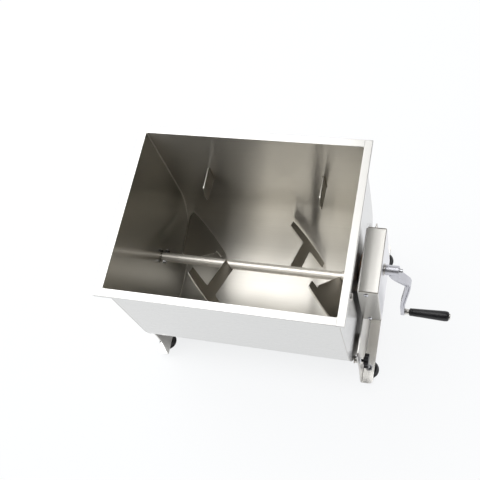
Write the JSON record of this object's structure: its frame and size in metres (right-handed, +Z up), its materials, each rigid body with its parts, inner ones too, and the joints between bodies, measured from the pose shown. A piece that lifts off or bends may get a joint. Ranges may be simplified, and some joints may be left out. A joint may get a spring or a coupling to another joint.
{
  "type": "manual meat mixer",
  "caption": "Tabletop meat mixer: open stainless tank that tips between stand plates, paddle shaft turned through covered gears by a bent hand crank with a black grip.",
  "frame": {"origin": "on the ground under the middle of the whole machine, crank grip included", "axes": "+X along the mixing shaft towards the crank, +Y to the back, +Z up"},
  "size_m": [0.6379, 0.354, 0.44],
  "materials": {
    "tank_sheet": "brushed stainless sheet",
    "paddle_plate": "brushed stainless plate",
    "stand_sheet": "brushed stainless sheet, a little duller",
    "turned_steel": "turned stainless steel",
    "bolt_steel": "bright zinc plated steel",
    "gear_steel": "dark oiled steel",
    "bronze": "sintered bronze",
    "cast_crank": "cast aluminium",
    "foot_rubber": "black rubber",
    "black_plastic": "black moulded plastic"
  },
  "bodies": {
    "base": {"side_plate_left": "stand_sheet", "side_plate_right": "stand_sheet", "tie_bars": "stand_sheet", "pivot_bush_left": "bronze", "pivot_bush_right": "bronze", "gearbox_cover": "stand_sheet", "cover_screws": "bolt_steel", "crank_bush_inner": "bronze", "crank_bush_outer": "turned_steel", "feet": "foot_rubber", "foot_bolts": "bolt_steel", "lock_nut": "bolt_steel"},
    "tank": {"trough": "tank_sheet", "end_plate_left": "tank_sheet", "end_plate_right": "tank_sheet", "rim_long_strips": "tank_sheet", "rim_short_strips": "tank_sheet", "wall_fins": "tank_sheet", "trunnion_left": "turned_steel", "trunnion_right": "turned_steel", "trunnion_collars": "turned_steel", "thrust_washers": "turned_steel", "lock_lugs": "turned_steel"},
    "shaft": {"shaft_tube": "turned_steel", "stub_shaft": "turned_steel", "drive_coupling": "turned_steel", "paddle_left_end": "paddle_plate", "paddle_left_middle": "paddle_plate", "paddle_right_middle": "paddle_plate", "paddle_right_end": "paddle_plate", "cross_bolts": "bolt_steel", "cross_nut": "bolt_steel", "gear_wheel": "gear_steel", "wheel_bolt": "bolt_steel"},
    "crank": {"crank_shaft": "turned_steel", "pinion": "gear_steel", "crank_arm": "cast_crank", "hub_bolt": "bolt_steel", "grip_pin": "turned_steel"},
    "grip": {"grip": "black_plastic"},
    "lock": {"lock_screw": "turned_steel", "star_knob": "black_plastic"}
  },
  "joints": [
    {"name": "tank_tilt", "type": "hinge", "parent": "base", "child": "tank", "pos_m": [-0.07035, 0, 0.205], "axis": [1, 0, 0], "range_deg": [0, 90]},
    {"name": "shaft_spin", "type": "hinge", "parent": "base", "child": "shaft", "pos_m": [-0.07035, 0, 0.205], "axis": [1, 0, 0], "continuous": true},
    {"name": "crank_spin", "type": "hinge", "parent": "base", "child": "crank", "pos_m": [-0.07035, 0, 0.267], "axis": [1, 0, 0], "continuous": true},
    {"name": "grip_spin", "type": "hinge", "parent": "crank", "child": "grip", "pos_m": [0.27715, -0.02734, 0.11951], "axis": [1, 0, 0], "continuous": true},
    {"name": "lock_slide", "type": "slide", "parent": "base", "child": "lock", "axis": [-1, 0, 0], "range_m": [0, 0.004]}
  ],
  "couplings": [
    {"joint": "crank_spin", "follows": "shaft_spin", "ratio": -2.1}
  ]
}
